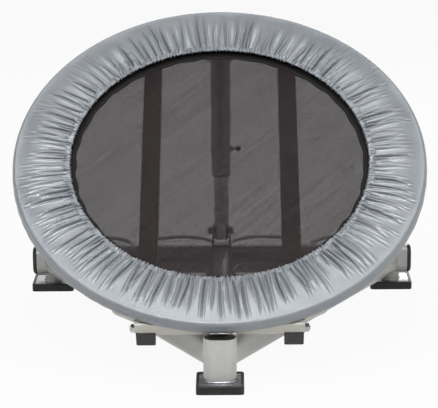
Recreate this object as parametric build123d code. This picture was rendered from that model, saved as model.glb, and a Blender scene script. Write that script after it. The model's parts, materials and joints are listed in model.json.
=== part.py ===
from build123d import *
from math import acos, asin, atan2, cos, degrees, hypot, radians, sin, sqrt
import os

# Medicine ball rebounder: a sprung round mat on a tilting deck, a three-legged floor frame with
# rings that store the balls, and a telescopic strut with a pull pin that sets the tilt.
# Millimetres and degrees. X to the right, Y away from the player, Z up, the floor at Z = 0.
# The origin is on the floor, under the middle of the whole rebounder.

# Deck, in its own frame: X across, S up the slope, N out of the mat, N = 0 at the pad's top.
tilt = 36.4
pad_radius = 500.0
pad_opening_radius = 361.0
pad_thickness = 14.0
pad_over_ring = 6.0
pad_crown = 2.4
pad_inner_roll = 11.0
pad_shoulder = 8.0
skirt_thickness = 4.7
skirt_depth = 35.0
ring_tube_diameter = 30.0
ring_tube_wall = 2.0
mat_thickness = 2.0
mat_drop = 24.0
hem_width = 30.0
hem_thickness = 4.0
spring_count = 32
spring_diameter = 14.0
spring_wire = 3.0
spring_barrel = 48.0
spring_span = 87.0
v_ring_width = 26.0
v_ring_reach = 13.0
v_ring_overlap = 5.0

# Rails, crossbars and saddles under the ring
rail_size = 45.0
rail_wall = 2.5
rail_corner = 4.0
rail_spacing = 340.8
rail_cap_thickness = 3.0
rail_cap_plug = 14.0
crossbar_inset = 31.0
crossbar_width = 50.0
crossbar_depth = 37.5
crossbar_wall = 2.5
crossbar_bend = 4.0
crossbar_overhang = 2.1
rail_notch_depth = 7.0
rail_notch_margin = 5.0
saddle_thickness = 2.0
saddle_liner = 1.0
saddle_reach = 45.0
saddle_flange_depth = 17.0
saddle_corner = 11.0
saddle_wrap = 160.0
saddle_liner_wrap = 155.0
ring_bolt_diameter = 8.0
ring_bolt_head = 5.5
ring_bolt_flats = 13.0
ring_bolt_tip = 6.0

# Hinge of the deck
axle_diameter = 12.0
axle_below_rail_top = 15.5
axle_nut_flats = 19.0
axle_nut_thickness = 10.0
axle_washer_diameter = 24.0
axle_washer_thickness = 2.5
bolt_tip = 2.6
spacer_diameter = 16.0
lug_thickness = 6.0
lug_spacing = 52.0
lug_radius = 17.0
bush_wall = 3.0
bush_flange = 2.0
bush_flange_thickness = 1.5
pivot_rise = 11.8
pivot_setback = 63.0
lug_notch_margin = 14.0
lug_notch_depth = 6.0

# Floor frame
frame_depth = 835.0
oval_height = 76.2
oval_width = 50.8
oval_wall = 2.5
oval_lift = 34.0
post_rise = 9.3
post_cap_recess = 0.8
plug_wall = 2.0
plug_depth = 14.0
cross_tube_half_length = 495.0
end_cap_dome = 11.0
end_cap_edge = 8.0
side_tube_inset = 39.0
side_tube_apex = 18.0
rear_foot_inset = 44.0
foot_size = 110.0
foot_height = 19.5
foot_rim = 6.5
foot_recess = 5.5
foot_corner = 9.0
foot_edge = 2.0
foot_plate_thickness = 4.0
foot_plate_gap = 0.5
leg_stub_diameter = 48.0
leg_stub_wall = 3.0
ball_ring_radius = 100.0
ball_ring_rod = 10.0
ball_ring_spacing = 230.0

# Strut between the cross tube and the rear crossbar
outer_tube_diameter = 50.8
outer_tube_wall = 2.5
inner_tube_diameter = 38.1
inner_tube_wall = 2.0
outer_tube_above_pivot = 20.0
pin_below_pivot = 252.0
pin_above_tube_end = 67.0
hole_pitch = 30.0
holes_each_way = 3
hole_diameter = 9.0
inner_tube_head_gap = 8.0
inner_tube_tail = 20.0
guide_bush_length = 40.0
guide_collar = 3.0
upper_bush_length = 30.0
top_plug_cap = 4.0
lower_pivot_rise = 40.4
lower_bolt_diameter = 12.0
lower_bolt_flats = 19.0
lower_bolt_head = 8.0
lower_nut_thickness = 10.0
clevis_thickness = 5.0
clevis_side_gap = 0.95
clevis_radius = 16.0
upper_pivot_drop = 42.5
upper_bolt_diameter = 10.0
upper_bolt_flats = 17.0
upper_bolt_head = 6.4
upper_nut_thickness = 8.0
upper_washer_diameter = 26.0
upper_washer_thickness = 2.0
bracket_thickness = 5.0
bracket_length = 84.0
bracket_side_gap = 2.0
bracket_radius = 18.0
bracket_slot_run = 4.0
bracket_slot_width = 15.0
pin_diameter = 8.0
pin_travel = 8.0
pin_boss_diameter = 16.0
pin_boss_length = 5.6
pin_knob_diameter = 14.0
pin_knob_gap = 0.5
screw_head_diameter = 14.0
screw_head_height = 4.0
screw_diameter = 6.0

# Clearances
running_fit = 0.05
guide_fit = 0.08
hole_fit = 0.2
side_play = 0.4
seat_gap = 0.3

# Places in the deck's frame
ring_radius = pad_radius - skirt_thickness - seat_gap - ring_tube_diameter / 2
ring_n = -pad_over_ring - ring_tube_diameter / 2
ring_inner_radius = ring_radius - ring_tube_diameter / 2
mat_n = -mat_drop
mat_radius = ring_inner_radius - spring_span
saddle_inner = ring_tube_diameter / 2 + saddle_liner
saddle_outer = saddle_inner + saddle_thickness
crossbar_top = ring_n - saddle_outer
crossbar_bottom = crossbar_top - crossbar_depth
crossbar_s = ring_radius - crossbar_inset
rail_x = rail_spacing / 2
rail_top = crossbar_bottom + rail_notch_depth
rail_n = rail_top - rail_size / 2
rail_half_length = crossbar_s + crossbar_width / 2
crossbar_half_length = rail_x + rail_size / 2 + crossbar_overhang
bolt_x = rail_x
bolt_s = sqrt(ring_radius**2 - bolt_x**2)
axle_s = -crossbar_s
axle_n = rail_top - axle_below_rail_top
bracket_plate_n = rail_top - bracket_thickness
upper_pivot_n = bracket_plate_n - upper_pivot_drop
upper_pivot_s = crossbar_s

# Places in the floor frame
ball_ring_reach = ball_ring_radius + ball_ring_rod / 2
overall_depth = foot_size / 2 + frame_depth + oval_width / 2 + 2 * ball_ring_reach
post_y = foot_size / 2 - overall_depth / 2
cross_y = post_y + frame_depth
plate_top = foot_height - foot_recess + foot_plate_thickness
oval_z = oval_lift + oval_height / 2
oval_top = oval_lift + oval_height
post_top = oval_top + post_rise
rear_foot_x = cross_tube_half_length - rear_foot_inset
pivot_y = post_y + pivot_setback
pivot_z = oval_top + pivot_rise
lower_pivot_y = cross_y
lower_pivot_z = oval_top + lower_pivot_rise

# The deck turned about the hinge, and the strut from its lower to its upper pivot
slope_cos = cos(radians(tilt))
slope_sin = sin(radians(tilt))
deck_y = pivot_y - axle_s * slope_cos + axle_n * slope_sin
deck_z = pivot_z - axle_s * slope_sin - axle_n * slope_cos
deck_place = Pos(0, deck_y, deck_z) * Rot(tilt, 0, 0)
upper_pivot_y = deck_y + upper_pivot_s * slope_cos - upper_pivot_n * slope_sin
upper_pivot_z = deck_z + upper_pivot_s * slope_sin + upper_pivot_n * slope_cos
strut_length = hypot(upper_pivot_y - lower_pivot_y, upper_pivot_z - lower_pivot_z)
strut_lean = degrees(atan2(lower_pivot_y - upper_pivot_y, upper_pivot_z - lower_pivot_z))
strut_place = Pos(0, lower_pivot_y, lower_pivot_z) * Rot(strut_lean, 0, 0)
strut_travel = hole_pitch * holes_each_way
pin_height = strut_length - pin_below_pivot
outer_tube_bottom = pin_height - pin_above_tube_end
outer_tube_top = strut_length + outer_tube_above_pivot
inner_tube_top = strut_length - strut_travel - upper_bolt_diameter / 2 - inner_tube_head_gap
outer_tube_bore = outer_tube_diameter - 2 * outer_tube_wall


def rod_x(diameter, x0, x1, y=0.0, z=0.0):
    """A round rod along X from x0 to x1."""
    rod = Cylinder(diameter / 2, x1 - x0, align=(Align.CENTER, Align.CENTER, Align.MIN))
    return Pos(x0, y, z) * Rot(0, 90, 0) * rod


def across_x(x):
    """The plane across X at x, with its own X along Y and its own Y along Z."""
    return Plane((x, 0, 0), x_dir=(0, 1, 0), z_dir=(1, 0, 0))


def hex_x(flats, x0, x1):
    """A hexagonal prism along X from x0 to x1, as a bolt head or a nut."""
    return extrude(across_x(x0) * RegularPolygon(flats / 2, 6, major_radius=False), x1 - x0)


def plate_x(outline, x0, x1):
    """A plate across X: outline is drawn with its own X along Y and its own Y along Z."""
    return extrude(across_x(x0) * outline, x1 - x0)


def both_sides(solid):
    """The solid on the +X side together with its mirror image on the -X side."""
    return [solid, mirror(solid, Plane.YZ)]


def oval(inset=0.0):
    """The flat-oval section, its long axis along its own X, drawn in by inset."""
    return SlotOverall(oval_height - 2 * inset, oval_width - 2 * inset)


def oval_length(start, end, section):
    """A length of flat-oval stock that stands upright between two points at one height."""
    run = Vector(*end) - Vector(*start)
    return extrude(Plane(start, x_dir=(0, 0, 1), z_dir=run.normalized()) * section, run.length)


def oval_tube_section():
    return oval() - oval(oval_wall)


# Floor frame

post_plane = Plane((0, post_y, plate_top))
post_solid = extrude(post_plane * oval(), post_top - plate_top)
side_start = (0, post_y + side_tube_apex, oval_z)
side_end = (cross_tube_half_length - side_tube_inset, cross_y, oval_z)
cross_ends = ((-cross_tube_half_length, cross_y, oval_z), (cross_tube_half_length, cross_y, oval_z))
beam_ends = ((0, post_y, oval_z), (0, cross_y, oval_z))
cross_solid = oval_length(*cross_ends, oval())
beam_solid = oval_length(*beam_ends, oval())
side_solid = oval_length(side_start, side_end, oval())


def make_post():
    return extrude(post_plane * oval_tube_section(), post_top - plate_top)


def make_post_cap():
    depth = plug_depth
    top = post_top - post_cap_recess
    outside = extrude(Plane((0, post_y, top - depth)) * oval(oval_wall), depth)
    inside = extrude(Plane((0, post_y, top - depth)) * oval(oval_wall + plug_wall), depth - plug_wall)
    return outside - inside


def make_cross_tube():
    return oval_length(*cross_ends, oval_tube_section())


def make_cross_tube_cap():
    """Domed cap on the right end of the cross tube, with its hollow plug inside the tube."""
    end = Plane((cross_tube_half_length, cross_y, oval_z), x_dir=(0, 0, 1), z_dir=(1, 0, 0))
    dome = extrude(end * oval(), end_cap_dome)
    dome = fillet(dome.faces().sort_by(Axis.X)[-1].edges(), end_cap_edge)
    plug = extrude(end * (oval(oval_wall) - oval(oval_wall + plug_wall)), -plug_depth)
    return dome + plug


def make_centre_beam():
    return oval_length(*beam_ends, oval_tube_section()) - post_solid - cross_solid


def make_side_tube():
    """Right side tube, coped against the post, the centre beam and the cross tube."""
    tube = oval_length(side_start, side_end, oval_tube_section())
    left_half = Pos(-oval_height, post_y, oval_z) * Box(2 * oval_height, 4 * oval_height, 2 * oval_height)
    tube = tube - post_solid - beam_solid - cross_solid - left_half
    return tube.solids().sort_by(SortBy.VOLUME)[-1]


def foot_at(x, y):
    """A square rubber foot with a recess in its top."""
    block = extrude(Pos(x, y) * RectangleRounded(foot_size, foot_size, foot_corner), foot_height)
    block = fillet(block.faces().sort_by(Axis.Z)[-1].edges(), foot_edge)
    recess_size = foot_size - 2 * foot_rim
    recess = RectangleRounded(recess_size, recess_size, foot_corner - foot_edge)
    return block - extrude(Pos(x, y, foot_height - foot_recess) * recess, foot_recess)


def foot_plate_at(x, y):
    size = foot_size - 2 * foot_rim - 2 * foot_plate_gap
    section = RectangleRounded(size, size, foot_corner - foot_edge - foot_plate_gap)
    return extrude(Pos(x, y, foot_height - foot_recess) * section, foot_plate_thickness)


def leg_stub_at(x):
    ring = Circle(leg_stub_diameter / 2) - Circle(leg_stub_diameter / 2 - leg_stub_wall)
    stub = extrude(Pos(x, cross_y, plate_top) * ring, oval_z - plate_top)
    return stub - cross_solid - side_solid - mirror(side_solid, Plane.YZ)


def ball_ring_at(x, y):
    return Pos(x, y, oval_z) * Torus(ball_ring_radius, ball_ring_rod / 2)


def make_hinge_lugs():
    """Two plates that stand on the tubes behind the post and carry the deck's axle."""
    outline = Pos(pivot_y, pivot_z) * Circle(lug_radius)
    stem_height = pivot_z - oval_z
    outline += Pos(pivot_y, pivot_z - stem_height / 2) * Rectangle(2 * lug_radius, stem_height)
    outline -= Pos(pivot_y, pivot_z) * Circle(axle_diameter / 2 + running_fit + bush_wall)
    middle = lug_spacing / 2
    lug = plate_x(outline, middle - lug_thickness / 2, middle + lug_thickness / 2)
    lug = lug - side_solid - beam_solid
    return both_sides(lug.solids().sort_by(SortBy.VOLUME)[-1])


def make_lug_bushes():
    bore = axle_diameter + 2 * running_fit
    outside = bore + 2 * bush_wall
    inner_face = lug_spacing / 2 - lug_thickness / 2
    outer_face = lug_spacing / 2 + lug_thickness / 2
    flange_face = outer_face + bush_flange_thickness
    bush = rod_x(outside, inner_face, outer_face) + rod_x(outside + 2 * bush_flange, outer_face, flange_face)
    bush = bush - rod_x(bore, inner_face - 1, flange_face + 1)
    return both_sides(Pos(0, pivot_y, pivot_z) * bush)


def make_lower_clevis():
    """U-shaped bracket, coped onto the crown of the cross tube."""
    gap = inner_tube_diameter / 2 + clevis_side_gap
    outline = Pos(lower_pivot_y, lower_pivot_z) * Circle(clevis_radius)
    stem = lower_pivot_z - oval_z
    outline += Pos(lower_pivot_y, lower_pivot_z - stem / 2) * Rectangle(2 * clevis_radius, stem)
    ears = plate_x(outline, -gap - clevis_thickness, gap + clevis_thickness)
    slot_floor = oval_top + clevis_thickness
    slot_height = 2 * lower_pivot_rise
    ears -= Pos(0, lower_pivot_y, slot_floor + slot_height / 2) * Box(2 * gap, 3 * clevis_radius, slot_height)
    ears = ears - cross_solid - beam_solid
    reach = gap + clevis_thickness
    return ears - rod_x(lower_bolt_diameter, -reach - 1, reach + 1, lower_pivot_y, lower_pivot_z)


clevis_reach = inner_tube_diameter / 2 + clevis_side_gap + clevis_thickness


def make_lower_bolt():
    head = hex_x(lower_bolt_flats, clevis_reach, clevis_reach + lower_bolt_head)
    shank = rod_x(lower_bolt_diameter, -clevis_reach - lower_nut_thickness - bolt_tip, clevis_reach)
    return Pos(0, lower_pivot_y, lower_pivot_z) * (head + shank)


def make_lower_nut():
    nut = hex_x(lower_bolt_flats, -clevis_reach - lower_nut_thickness, -clevis_reach)
    nut -= rod_x(lower_bolt_diameter, -clevis_reach - lower_nut_thickness - 1, -clevis_reach + 1)
    return Pos(0, lower_pivot_y, lower_pivot_z) * nut


# Deck, modelled flat in its own frame

def around_ring(section, start_angle, sweep):
    """A section drawn in the plane of R and N, turned round the N axis from start_angle."""
    return Rot(0, 0, start_angle) * revolve(Plane.XZ * section, Axis.Z, sweep)


def make_edge_pad():
    """Padded cover: a crowned top, a rolled inner edge and a skirt over the ring tube."""
    over_ring = ring_tube_diameter / 2 + seat_gap
    skirt_inner = ring_radius + over_ring
    under_n = -pad_thickness
    ring_start = ring_radius - sqrt(over_ring**2 - (under_n - ring_n)**2)
    edge_round = skirt_thickness / 2
    shoulder_n = -pad_crown - pad_shoulder
    shoulder_start = pad_radius - pad_shoulder
    roll_end = pad_opening_radius + pad_inner_roll
    crown_middle = (roll_end + shoulder_start) / 2
    diagonal = pad_shoulder * sqrt(0.5)
    roll_middle = (pad_opening_radius, -(pad_crown + pad_thickness) / 2)
    skirt_end = -skirt_depth + edge_round
    skirt_lowest = (pad_radius - edge_round, -skirt_depth)
    outline = [
        Line((roll_end, under_n), (ring_start, under_n)),
        ThreePointArc((ring_start, under_n), (ring_radius, ring_n + over_ring), (skirt_inner, ring_n)),
        Line((skirt_inner, ring_n), (skirt_inner, skirt_end)),
        ThreePointArc((skirt_inner, skirt_end), skirt_lowest, (pad_radius, skirt_end)),
        Line((pad_radius, skirt_end), (pad_radius, shoulder_n)),
        ThreePointArc(
            (pad_radius, shoulder_n),
            (shoulder_start + diagonal, shoulder_n + diagonal),
            (shoulder_start, -pad_crown),
        ),
        ThreePointArc((shoulder_start, -pad_crown), (crown_middle, 0), (roll_end, -pad_crown)),
        ThreePointArc((roll_end, -pad_crown), roll_middle, (roll_end, under_n)),
    ]
    return around_ring(make_face(outline), 0, 360)


def make_ring_tube():
    tube = Torus(ring_radius, ring_tube_diameter / 2)
    tube -= Torus(ring_radius, ring_tube_diameter / 2 - ring_tube_wall)
    return Pos(0, 0, ring_n) * tube - ring_bolt_holes()


def ring_bolt_places():
    return [Pos(x, s, 0) for x in (-bolt_x, bolt_x) for s in (-bolt_s, bolt_s)]


def ring_bolt_holes():
    """Clearance holes from under the crossbar's top up to the middle of the ring tube."""
    low = crossbar_top - crossbar_wall
    hole = extrude(Pos(0, 0, low) * Circle(ring_bolt_diameter / 2 + hole_fit), ring_n - low)
    return [place * hole for place in ring_bolt_places()]


def make_ring_bolts():
    seat = crossbar_top - crossbar_wall
    head_section = Pos(0, 0, seat) * RegularPolygon(ring_bolt_flats / 2, 6, major_radius=False)
    bolt = extrude(head_section, -ring_bolt_head)
    tip = ring_n - ring_tube_diameter / 2 + ring_bolt_tip
    bolt += extrude(Pos(0, 0, seat) * Circle(ring_bolt_diameter / 2), tip - seat)
    return [place * bolt for place in ring_bolt_places()]


def saddle_angles():
    """Start angle and sweep of the saddle at the right of the rear crossbar."""
    outer_x = crossbar_half_length + saddle_reach
    inner_x = crossbar_half_length - saddle_reach
    start = 90 - degrees(asin(outer_x / ring_radius))
    return start, degrees(asin(outer_x / ring_radius) - asin(inner_x / ring_radius))


def trough(inner, outer, low_angle, high_angle):
    """Part of a round wall under the ring tube, between two angles in the R and N plane."""
    def at(radius, angle):
        return (ring_radius + radius * cos(radians(angle)), ring_n + radius * sin(radians(angle)))

    middle = (low_angle + high_angle) / 2
    return make_face([
        ThreePointArc(at(inner, low_angle), at(inner, middle), at(inner, high_angle)),
        Line(at(inner, high_angle), at(outer, high_angle)),
        ThreePointArc(at(outer, high_angle), at(outer, middle), at(outer, low_angle)),
        Line(at(outer, low_angle), at(inner, low_angle)),
    ])


# The saddle's wall ends where its outside is in line with the outside of the ring tube.
saddle_end_angle = -degrees(acos(ring_tube_diameter / 2 / saddle_outer))


def four_corners(solid):
    """A solid at the right of the rear crossbar, and its images at the other three corners."""
    pair = both_sides(solid)
    return pair + [mirror(each, Plane.XZ) for each in pair]


def make_ring_saddles():
    start, sweep = saddle_angles()
    wall = around_ring(trough(saddle_inner, saddle_outer, -saddle_wrap, saddle_end_angle), start, sweep)
    flange_radius = ring_radius + ring_tube_diameter / 2 - saddle_thickness / 2
    flange_top = ring_n + saddle_outer * sin(radians(saddle_end_angle)) - saddle_thickness / 2
    flange_low = ring_n - ring_tube_diameter / 2 - saddle_flange_depth
    section = Rectangle(saddle_thickness, flange_top - flange_low)
    flange = around_ring(Pos(flange_radius, (flange_top + flange_low) / 2) * section, start, sweep)
    outer_end = flange.faces().sort_by(Axis.X)[-1]
    flange = fillet(outer_end.edges().sort_by(Axis.Z)[0], saddle_corner)
    saddle = wall + flange - crossbar_block(1) - ring_bolt_holes()
    return four_corners(saddle.solids().sort_by(SortBy.VOLUME)[-1])


def make_saddle_liners():
    start, sweep = saddle_angles()
    liner = trough(ring_tube_diameter / 2, saddle_inner, -saddle_liner_wrap, saddle_end_angle)
    return four_corners(around_ring(liner, start, sweep) - ring_bolt_holes())


def crossbar_block(side):
    """The space that a crossbar fills, at the front for side -1 and at the rear for side 1."""
    block = Box(2 * crossbar_half_length, crossbar_width, crossbar_depth)
    long_edges = block.edges().filter_by(Axis.X).sort_by(Axis.Z)[-2:]
    block = fillet(long_edges, crossbar_bend)
    return Pos(0, side * crossbar_s, (crossbar_top + crossbar_bottom) / 2) * block


def make_crossbar(side):
    """Channel that is open below, with closed ends, notched to sit on the rails."""
    inner = Box(
        2 * (crossbar_half_length - crossbar_wall), crossbar_width - 2 * crossbar_wall, crossbar_depth,
    )
    inner = fillet(inner.edges().filter_by(Axis.X).sort_by(Axis.Z)[-2:], crossbar_bend - crossbar_wall)
    channel = crossbar_block(side)
    middle_n = (crossbar_top + crossbar_bottom) / 2
    channel -= Pos(0, side * crossbar_s, middle_n - crossbar_wall) * inner
    notch_inner = rail_x - rail_size / 2 - rail_notch_margin
    notch_width = crossbar_half_length + 1 - notch_inner
    notch = Box(notch_width, crossbar_width + 2, 2 * rail_notch_depth)
    for x_side in (-1, 1):
        x = x_side * (notch_inner + notch_width / 2)
        channel -= Pos(x, side * crossbar_s, crossbar_bottom) * notch
    channel -= ring_bolt_holes()
    if side < 0:
        lug_notch = Box(lug_spacing + 2 * lug_notch_margin, 4 * crossbar_wall, 2 * lug_notch_depth)
        channel -= Pos(0, -crossbar_s - crossbar_width / 2, crossbar_bottom) * lug_notch
    return channel


def make_rail(x):
    bore = rail_size - 2 * rail_wall
    section = RectangleRounded(rail_size, rail_size, rail_corner)
    section -= RectangleRounded(bore, bore, rail_corner - rail_wall)
    front = Plane((x, -rail_half_length, rail_n), x_dir=(1, 0, 0), z_dir=(0, 1, 0))
    rail = extrude(front * section, 2 * rail_half_length)
    reach = rail_size / 2 + 1
    return rail - rod_x(axle_diameter, x - reach, x + reach, axle_s, axle_n)


def make_rail_end_caps():
    cap = extrude(RectangleRounded(rail_size, rail_size, rail_corner), rail_cap_thickness)
    cap = fillet(cap.faces().sort_by(Axis.Z)[-1].edges(), rail_cap_thickness / 2)
    bore = rail_size - 2 * rail_wall
    plug_bore = bore - 2 * plug_wall
    plug = RectangleRounded(bore, bore, rail_corner - rail_wall) - Rectangle(plug_bore, plug_bore)
    cap += extrude(plug, -rail_cap_plug)
    rear = Plane((rail_x, rail_half_length, rail_n), x_dir=(1, 0, 0), z_dir=(0, 1, 0)).location * cap
    pair = both_sides(rear)
    return pair + [mirror(each, Plane.XZ) for each in pair]


rail_outer_face = rail_x + rail_size / 2
axle_reach = rail_outer_face + axle_washer_thickness + axle_nut_thickness + bolt_tip


def make_axle():
    return rod_x(axle_diameter, -axle_reach, axle_reach, axle_s, axle_n)


def make_axle_washers():
    face = rail_outer_face + axle_washer_thickness
    washer = rod_x(axle_washer_diameter, rail_outer_face, face) - rod_x(axle_diameter, 0, axle_reach)
    return both_sides(Pos(0, axle_s, axle_n) * washer)


def make_axle_nuts():
    face = rail_outer_face + axle_washer_thickness
    nut = hex_x(axle_nut_flats, face, face + axle_nut_thickness) - rod_x(axle_diameter, 0, axle_reach)
    return both_sides(Pos(0, axle_s, axle_n) * nut)


def make_axle_spacers():
    start = lug_spacing / 2 + lug_thickness / 2 + bush_flange_thickness + side_play
    spacer = rod_x(spacer_diameter, start, rail_x - rail_size / 2) - rod_x(axle_diameter, 0, axle_reach)
    return both_sides(Pos(0, axle_s, axle_n) * spacer)


def make_jump_mat():
    return Pos(0, 0, mat_n) * Cylinder(mat_radius - hem_width, mat_thickness)


def v_ring_outline(inset=0.0):
    """Steel loop, wide in the hem and narrow at the spring's hook, or its inside at an inset.

    The sides slant, so their wire is half as wide again across the wide end and half at the tip.
    """
    back = mat_radius - v_ring_overlap + inset
    tip = mat_radius + v_ring_reach - inset
    back_half = v_ring_width / 2 - 1.5 * inset
    tip_half = spring_wire - 0.5 * inset
    return Polygon((back, -back_half), (tip, -tip_half), (tip, tip_half), (back, back_half), align=None)


def around_mat(solid):
    step = 360 / spring_count
    return [Rot(0, 0, step * (i + 0.5)) * solid for i in range(spring_count)]


def make_mat_v_rings():
    loop = v_ring_outline() - v_ring_outline(spring_wire)
    return around_mat(extrude(Pos(0, 0, mat_n - spring_wire / 2) * loop, spring_wire))


def make_mat_hem():
    hem = Cylinder(mat_radius, hem_thickness) - Cylinder(mat_radius - hem_width, hem_thickness)
    pocket = extrude(Pos(0, 0, -spring_wire / 2) * v_ring_outline(), spring_wire)
    return Pos(0, 0, mat_n) * (hem - around_mat(pocket))


def make_springs():
    """Closed-wound barrels with a hook wire at each end, between the loops and the ring."""
    hook_in = mat_radius + v_ring_reach + seat_gap
    hook_out = ring_radius - sqrt((ring_tube_diameter / 2)**2 - (mat_n - ring_n)**2) - seat_gap
    middle = (hook_in + hook_out) / 2
    barrel_half = spring_barrel / 2
    neck = spring_diameter / 2
    wire = spring_wire / 2
    outline = Polyline(
        (hook_in, 0),
        (hook_in, wire),
        (middle - barrel_half - neck, wire),
        (middle - barrel_half, spring_diameter / 2),
        (middle + barrel_half, spring_diameter / 2),
        (middle + barrel_half + neck, wire),
        (hook_out, wire),
        (hook_out, 0),
        close=True,
    )
    spring = revolve(make_face(outline), Axis.X, 360)
    return around_mat(Pos(0, 0, mat_n) * spring)


def make_upper_bracket():
    """Plate between the rear crossbar's flanges, with two slotted ears for the strut's bolt."""
    width = crossbar_width - 2 * crossbar_wall
    plate = Box(bracket_length, width, bracket_thickness)
    plate = Pos(0, crossbar_s, bracket_plate_n + bracket_thickness / 2) * plate
    stem = Rectangle(2 * bracket_radius, upper_pivot_drop)
    outline = Pos(upper_pivot_s, upper_pivot_n) * Circle(bracket_radius)
    outline += Pos(upper_pivot_s, upper_pivot_n + upper_pivot_drop / 2) * stem
    slot = SlotCenterToCenter(bracket_slot_run, bracket_slot_width)
    slot = Rot(0, 0, 180 - tilt) * Pos(bracket_slot_run / 2, 0) * slot
    outline -= Pos(upper_pivot_s, upper_pivot_n) * slot
    inner = outer_tube_diameter / 2 + bracket_side_gap
    return plate + both_sides(plate_x(outline, inner, inner + bracket_thickness))


# Strut, modelled upright with its lower pivot at the origin

def sleeve(outer, inner, low, high):
    """A round tube about the strut's axis."""
    ring = Circle(outer / 2) - Circle(inner / 2)
    return extrude(Pos(0, 0, low) * ring, high - low)


def make_inner_tube():
    bore = inner_tube_diameter - 2 * inner_tube_wall
    tube = sleeve(inner_tube_diameter, bore, -inner_tube_tail, inner_tube_top)
    for step in range(-holes_each_way, holes_each_way + 1):
        tube -= rod_x(hole_diameter, 0, inner_tube_diameter, z=pin_height + step * hole_pitch)
    eye = lower_bolt_diameter + 2 * running_fit + 2 * bush_wall
    return tube - rod_x(eye, -inner_tube_diameter, inner_tube_diameter)


def make_eye_bush():
    bore = lower_bolt_diameter + 2 * running_fit
    reach = inner_tube_diameter / 2 + clevis_side_gap - side_play
    return rod_x(bore + 2 * bush_wall, -reach, reach) - rod_x(bore, -reach - 1, reach + 1)


def make_upper_guide_bush():
    outer = outer_tube_bore - 2 * guide_fit
    return sleeve(outer, inner_tube_diameter, inner_tube_top - upper_bush_length, inner_tube_top)


def make_outer_tube():
    tube = sleeve(outer_tube_diameter, outer_tube_bore, outer_tube_bottom, outer_tube_top)
    tube -= rod_x(upper_bolt_diameter, -outer_tube_diameter, outer_tube_diameter, z=strut_length)
    tube -= rod_x(pin_diameter + 2 * hole_fit, 0, outer_tube_diameter, z=pin_height)
    return tube - rod_x(screw_diameter, -outer_tube_diameter, 0, z=pin_height)


def make_lower_guide_bush():
    bore = inner_tube_diameter + 2 * guide_fit
    bush = sleeve(outer_tube_bore, bore, outer_tube_bottom, outer_tube_bottom + guide_bush_length)
    return bush + sleeve(outer_tube_diameter, bore, outer_tube_bottom - guide_collar, outer_tube_bottom)


def make_top_plug():
    cap = extrude(Pos(0, 0, outer_tube_top) * Circle(outer_tube_diameter / 2), top_plug_cap)
    cap = fillet(cap.edges().sort_by(Axis.Z)[-1], top_plug_cap / 2)
    depth = outer_tube_above_pivot - upper_bolt_diameter
    plug_bore = outer_tube_bore - 2 * plug_wall
    return cap + sleeve(outer_tube_bore, plug_bore, outer_tube_top - depth, outer_tube_top)


bracket_reach = outer_tube_diameter / 2 + bracket_side_gap + bracket_thickness
washer_start = bracket_reach + side_play
washer_end = washer_start + upper_washer_thickness


def make_upper_bolt():
    head = hex_x(upper_bolt_flats, washer_end, washer_end + upper_bolt_head)
    shank = rod_x(upper_bolt_diameter, -washer_end - upper_nut_thickness - bolt_tip, washer_end)
    return Pos(0, 0, strut_length) * (head + shank)


def make_upper_nut():
    nut = hex_x(upper_bolt_flats, -washer_end - upper_nut_thickness, -washer_end)
    return Pos(0, 0, strut_length) * (nut - rod_x(upper_bolt_diameter, -2 * washer_end, 0))


def make_upper_washers():
    washer = rod_x(upper_washer_diameter, washer_start, washer_end)
    washer -= rod_x(upper_bolt_diameter, 0, 2 * washer_end)
    return both_sides(Pos(0, 0, strut_length) * washer)


outer_tube_circle = Pos(0, 0, outer_tube_bottom) * Circle(outer_tube_diameter / 2)
outer_tube_solid = extrude(outer_tube_circle, outer_tube_top - outer_tube_bottom)
pin_boss_face = outer_tube_diameter / 2 + pin_boss_length


def make_pin_boss():
    boss = rod_x(pin_boss_diameter, outer_tube_bore / 2, pin_boss_face, z=pin_height)
    boss -= rod_x(pin_diameter + 2 * guide_fit, 0, 2 * pin_boss_face, z=pin_height)
    return boss - outer_tube_solid


def make_guide_screw():
    head_face = outer_tube_diameter / 2 + screw_head_height
    head = rod_x(screw_head_diameter, -head_face, -outer_tube_bore / 2, z=pin_height)
    head = fillet(head.edges().sort_by(Axis.X)[0], screw_head_height / 2) - outer_tube_solid
    shank_start = -head_face + screw_head_height / 2
    return head + rod_x(screw_diameter, shank_start, -outer_tube_bore / 2, z=pin_height)


pin_nose = outer_tube_bore / 2 - side_play
pin_knob_start = pin_boss_face + pin_travel + pin_knob_gap


def make_pin_plunger():
    """Pin as parked, its nose just inside the outer tube's wall and clear of the inner tube."""
    plunger = rod_x(pin_diameter, pin_nose, pin_knob_start + pin_knob_diameter / 2, z=pin_height)
    return chamfer(plunger.edges().sort_by(Axis.X)[0], 1.0)


def make_pin_knob():
    radius = pin_knob_diameter / 2
    ball = Pos(pin_knob_start + radius, 0, pin_height) * Sphere(radius)
    return ball - rod_x(pin_diameter, 0, pin_knob_start + radius, z=pin_height)


def placed(place, shape):
    """A solid, or each of a list of solids, moved from its own frame to its place."""
    return [place * each for each in shape] if isinstance(shape, list) else place * shape


rear_ring_y = cross_y + oval_width / 2 + ball_ring_reach
front_ring_x = oval_width / 2 + ball_ring_reach
front_ring_y = cross_y - oval_width / 2 - ball_ring_reach
side_tube = make_side_tube()
end_cap = make_cross_tube_cap()

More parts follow.
